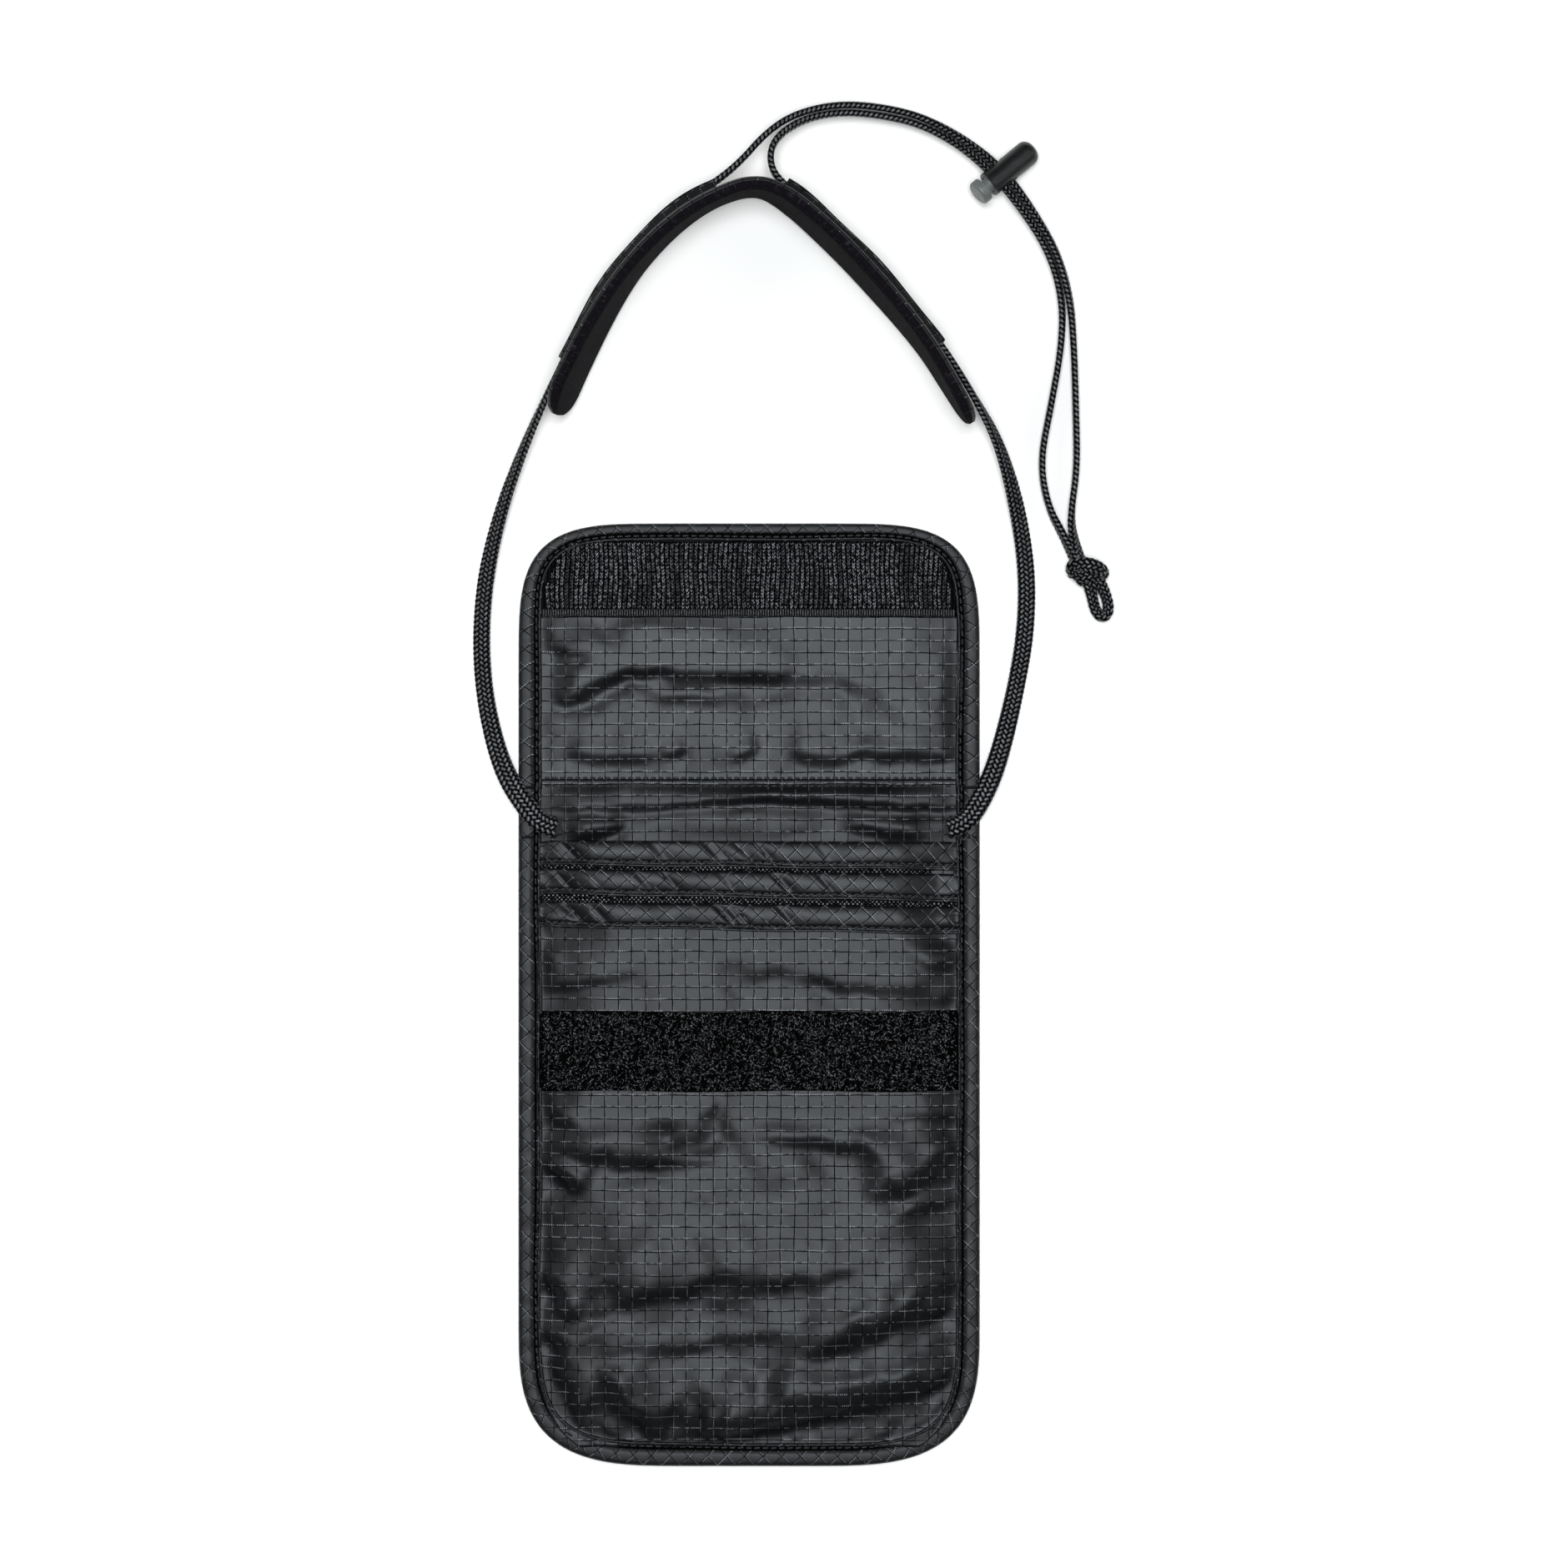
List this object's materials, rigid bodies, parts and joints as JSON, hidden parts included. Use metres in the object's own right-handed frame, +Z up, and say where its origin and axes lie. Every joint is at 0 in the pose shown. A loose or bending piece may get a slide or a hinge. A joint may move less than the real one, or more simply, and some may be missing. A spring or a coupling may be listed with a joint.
{
  "type": "neck pouch wallet",
  "caption": "Flat fabric travel pouch with stacked open pockets and a fold-over hook-and-loop flap, on a cord neck loop with a padded neck rest, a spring cord lock and a knotted tail.",
  "frame": {"origin": "on the surface under the middle of the opened pouch (body and open flap), lying front up", "axes": "+X across the pouch to its right edge, +Y from the pouch's bottom edge towards the flap's free edge and the neck pad, +Z up out of the pockets' front"},
  "size_m": [0.1925, 0.416, 0.0303],
  "materials": {
    "shell_cloth": "near-black ripstop weave, satin",
    "pocket_cloth": "near-black ripstop weave, satin",
    "binding_tape": "bias-cut ripstop tape, stitched",
    "loop_tape": "fuzzy loop pile",
    "hook_tape": "rows of fine hooks",
    "cord": "flat tubular braid",
    "fleece": "brushed pile, matt",
    "foam": "open foam",
    "thread": "stitched",
    "lock_plastic": "satin moulded",
    "button_plastic": "satin moulded",
    "spring_steel": "drawn wire"
  },
  "bodies": {
    "pouch": {"back_panel": "shell_cloth", "pocket_panel_rear": "pocket_cloth", "pocket_panel_middle": "pocket_cloth", "pocket_panel_front": "pocket_cloth", "pocket_binding_rear": "binding_tape", "pocket_binding_middle": "binding_tape", "pocket_binding_front": "binding_tape", "loop_strip": "loop_tape", "body_binding": "binding_tape", "fold_panel": "shell_cloth", "cord_tunnel": "pocket_cloth", "cord_end_left": "cord", "cord_end_right": "cord", "bar_tack_left": "thread", "bar_tack_right": "thread"},
    "flap": {"flap_outer": "shell_cloth", "flap_lining": "pocket_cloth", "flap_binding": "binding_tape", "hook_strip": "hook_tape"},
    "neck_strap": {"cord_left": "cord", "cord_right": "cord", "cord_knot": "cord", "cord_end_loop": "cord", "pad_face": "fleece", "pad_core": "foam", "pad_back": "shell_cloth", "pad_sleeve_left": "pocket_cloth", "pad_sleeve_right": "pocket_cloth"},
    "cord_lock": {"lock_barrel": "lock_plastic", "lock_spring": "spring_steel"},
    "lock_button": {"lock_plunger": "button_plastic"}
  },
  "joints": [
    {"name": "flap_fold", "type": "hinge", "parent": "pouch", "child": "flap", "pos_m": [0, 0.0546, 0.00565], "axis": [1, 0, 0], "range_deg": [0, 180], "deforming": ["fold_panel"]},
    {"name": "strap_swing", "type": "hinge", "parent": "pouch", "child": "neck_strap", "pos_m": [0.0011, 0.0508, 0.0024], "axis": [1, 0, 0], "range_deg": [0, 90]},
    {"name": "lock_slide", "type": "slide", "parent": "neck_strap", "child": "cord_lock", "axis": [0.6494, -0.7604, 0], "range_m": [-0.005, 0.005]},
    {"name": "button_press", "type": "slide", "parent": "cord_lock", "child": "lock_button", "axis": [0.7438, 0.6353, -0.2079], "range_m": [0, 0.0018], "stiffness_N_per_m": 800, "springref_m": -0.001, "deforming": ["lock_spring"]}
  ]
}
